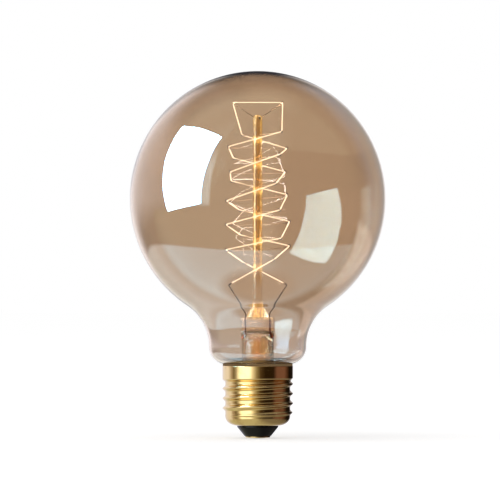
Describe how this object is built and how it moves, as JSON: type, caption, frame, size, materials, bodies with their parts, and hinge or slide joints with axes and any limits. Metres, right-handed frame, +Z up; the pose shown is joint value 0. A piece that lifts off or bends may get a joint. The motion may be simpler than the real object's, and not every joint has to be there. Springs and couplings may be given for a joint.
{
  "type": "filament lamp",
  "caption": "Amber glass globe lamp with a hand-strung double-helix filament on a glass rod and a brass screw cap with a black glass insulator.",
  "frame": {"origin": "centre of the contact's underside, at the bottom of the cap", "axes": "+Z up the lamp's axis towards the globe; the top run of the filament lies along X, and -Y faces the picture's camera"},
  "size_m": [0.095, 0.095, 0.1365],
  "materials": {
    "amber_glass": "gloss",
    "clear_glass": "gloss",
    "filament_wire": "glowing",
    "hook_wire": "satin",
    "nickel_wire": "satin",
    "seal_wire": "satin",
    "copper_wire": "satin",
    "cement": "matt",
    "brass_sheet": "polished",
    "black_glass": "gloss",
    "solder": "dull"
  },
  "bodies": {
    "root": {"globe": "amber_glass", "stem_flare": "clear_glass", "stem_press": "clear_glass", "exhaust_tube": "clear_glass", "glass_rod": "clear_glass", "filament": "filament_wire", "top_hooks": "hook_wire", "side_hooks": "hook_wire", "diagonal_hooks": "hook_wire", "left_inner_lead": "nickel_wire", "right_inner_lead": "nickel_wire", "left_seal_wire": "seal_wire", "right_seal_wire": "seal_wire", "side_outer_lead": "copper_wire", "fuse_wire": "nickel_wire", "centre_outer_lead": "copper_wire", "basing_cement": "cement", "cap_shell": "brass_sheet", "cap_insulator": "black_glass", "contact_plate": "brass_sheet", "contact_solder": "solder", "rim_solder": "solder"}
  },
  "joints": []
}
